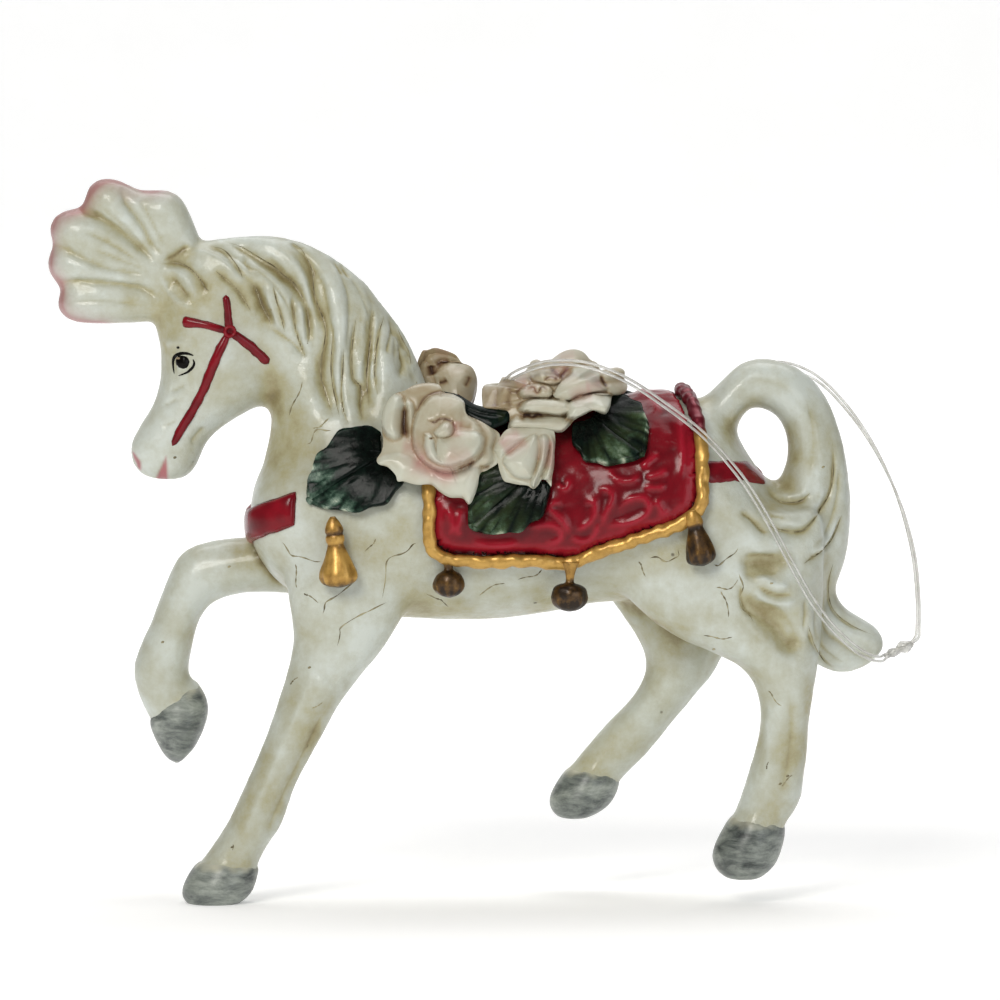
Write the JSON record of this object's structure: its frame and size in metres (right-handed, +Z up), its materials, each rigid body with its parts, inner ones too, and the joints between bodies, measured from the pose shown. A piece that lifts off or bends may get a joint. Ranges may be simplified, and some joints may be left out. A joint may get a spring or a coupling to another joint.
{
  "type": "carousel horse ornament",
  "caption": "Small painted cast-resin carousel horse with a rose-trimmed saddle blanket, gold braid and tassels, and a clear nylon loop in its back to hang it by.",
  "frame": {"origin": "mouth of the thread hole on the middle of the horse's back, where the hanging loop comes out", "axes": "+Z up, the horse faces -X with its tail at +X, and its near (left) side faces -Y"},
  "size_m": [0.1042, 0.0306, 0.086],
  "materials": {
    "antiqued_ivory_glaze": "glossy ivory glaze over cast resin, antiqued in the hollows, with fine crackle",
    "grey_hoof_paint": "mottled grey gloss paint",
    "crimson_enamel": "crimson gloss enamel",
    "gold_paint": "metallic gold paint, browned in the hollows",
    "dark_green_enamel": "black-green gloss, dry-brushed lighter on the veins",
    "blush_ivory_petals": "ivory gloss shaded blush and beige",
    "clear_nylon": "clear nylon monofilament"
  },
  "bodies": {
    "horse": {"blanket_braid": "gold_paint", "breast_strap": "crimson_enamel", "head_plume": "antiqued_ivory_glaze", "horse_body": "antiqued_ivory_glaze", "near_blanket_leaf": "dark_green_enamel", "near_bridle": "crimson_enamel", "near_bud": "blush_ivory_petals", "near_crupper": "crimson_enamel", "near_fore_hoof": "grey_hoof_paint", "near_front_tassel": "gold_paint", "near_hind_hoof": "grey_hoof_paint", "near_middle_tassel": "gold_paint", "near_rear_tassel": "gold_paint", "near_rose": "blush_ivory_petals", "near_rump_leaf": "dark_green_enamel", "near_shoulder_leaf": "dark_green_enamel", "near_shoulder_tassel": "gold_paint", "off_blanket_leaf": "dark_green_enamel", "off_bridle": "crimson_enamel", "off_bud": "blush_ivory_petals", "off_crupper": "crimson_enamel", "off_fore_hoof": "grey_hoof_paint", "off_front_tassel": "gold_paint", "off_hind_hoof": "grey_hoof_paint", "off_middle_tassel": "gold_paint", "off_rear_tassel": "gold_paint", "off_rump_leaf": "dark_green_enamel", "off_shoulder_leaf": "dark_green_enamel", "off_shoulder_tassel": "gold_paint", "off_side_rose": "blush_ivory_petals", "off_withers_rose": "blush_ivory_petals", "raised_foreleg": "antiqued_ivory_glaze", "saddle_blanket": "crimson_enamel", "saddle_rose": "blush_ivory_petals", "withers_leaf": "dark_green_enamel"},
    "hanging_loop": {"thread_far_strand": "clear_nylon", "thread_hanging_bight": "clear_nylon", "thread_knot": "clear_nylon", "thread_near_strand": "clear_nylon"}
  },
  "joints": [
    {"name": "loop_swing", "type": "hinge", "parent": "horse", "child": "hanging_loop", "pos_m": [0, 0, 0], "axis": [0, -1, 0], "range_deg": [0, 70]}
  ]
}
